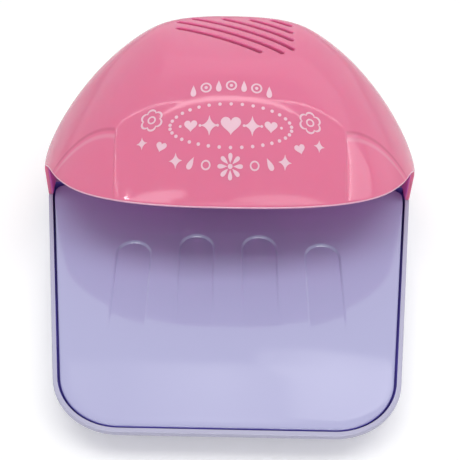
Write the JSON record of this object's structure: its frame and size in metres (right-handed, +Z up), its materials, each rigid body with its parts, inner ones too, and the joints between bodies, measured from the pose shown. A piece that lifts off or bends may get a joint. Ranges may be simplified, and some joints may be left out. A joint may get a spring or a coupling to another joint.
{
  "type": "nail polish fan dryer",
  "caption": "Battery fan dryer for nail polish: a domed hood with vents over a flat tray whose hinged, finger-grooved press plate starts the fan.",
  "frame": {"origin": "on the ground, under the middle of the dryer's overall box", "axes": "+X to the dryer's right as the user sees it, +Y to its rear, +Z up"},
  "size_m": [0.145, 0.162, 0.0778],
  "materials": {
    "hood_plastic": "polished, opaque pink",
    "tray_plastic": "polished, pale lilac",
    "plate_plastic": "polished, pale lilac",
    "inner_plastic": "fine satin, pale lilac",
    "fan_plastic": "satin white",
    "cap_plastic": "black",
    "steel": "zinc plated",
    "motor_steel": "plated can",
    "spring_steel": "drawn wire",
    "contact_plate": "nickel plated",
    "brass": "bare",
    "ceramic": "orange dipped",
    "cell_skin": "printed sleeve, no print",
    "rubber": "matt, translucent white",
    "wire_red": "PVC insulation",
    "wire_black": "PVC insulation",
    "wire_blue": "PVC insulation"
  },
  "bodies": {
    "housing": {"hood_shell": "hood_plastic", "tray_shell": "tray_plastic", "hinge_pins": "steel", "return_springs": "spring_steel", "outlet_baffle": "inner_plastic", "baffle_screws": "steel", "motor_mount": "inner_plastic", "mount_screws": "steel", "motor_can": "motor_steel", "motor_cap": "cap_plastic", "motor_terminals": "brass", "noise_capacitor": "ceramic", "battery_cells": "cell_skin", "cell_springs": "spring_steel", "cell_link": "contact_plate", "cell_terminals": "contact_plate", "door_pin": "steel", "switch_holder": "cap_plastic", "switch_low_leaf": "brass", "switch_top_leaf": "brass", "housing_screws": "steel", "rubber_feet": "rubber", "wire_red": "wire_red", "wire_black": "wire_black", "wire_blue": "wire_blue"},
    "plate": {"press_plate": "plate_plastic"},
    "rotor": {"motor_shaft": "steel", "impeller": "fan_plastic"},
    "door": {"battery_door": "tray_plastic", "door_screw": "steel"}
  },
  "joints": [
    {"name": "plate_press", "type": "hinge", "parent": "housing", "child": "plate", "pos_m": [0, 0.0306, 0.0088], "axis": [1, 0, 0], "range_deg": [0, 0.8], "stiffness_Nm_per_rad": 3, "springref_deg": -1.72, "deforming": ["return_springs", "switch_top_leaf"]},
    {"name": "fan_spin", "type": "hinge", "parent": "housing", "child": "rotor", "pos_m": [0, 0.02658, 0.03992], "axis": [0, 0.9063, 0.4226], "continuous": true},
    {"name": "door_hinge", "type": "hinge", "parent": "housing", "child": "door", "pos_m": [-0.0326, 0.056, 0.0036], "axis": [0, 1, 0], "range_deg": [0, 90]}
  ]
}
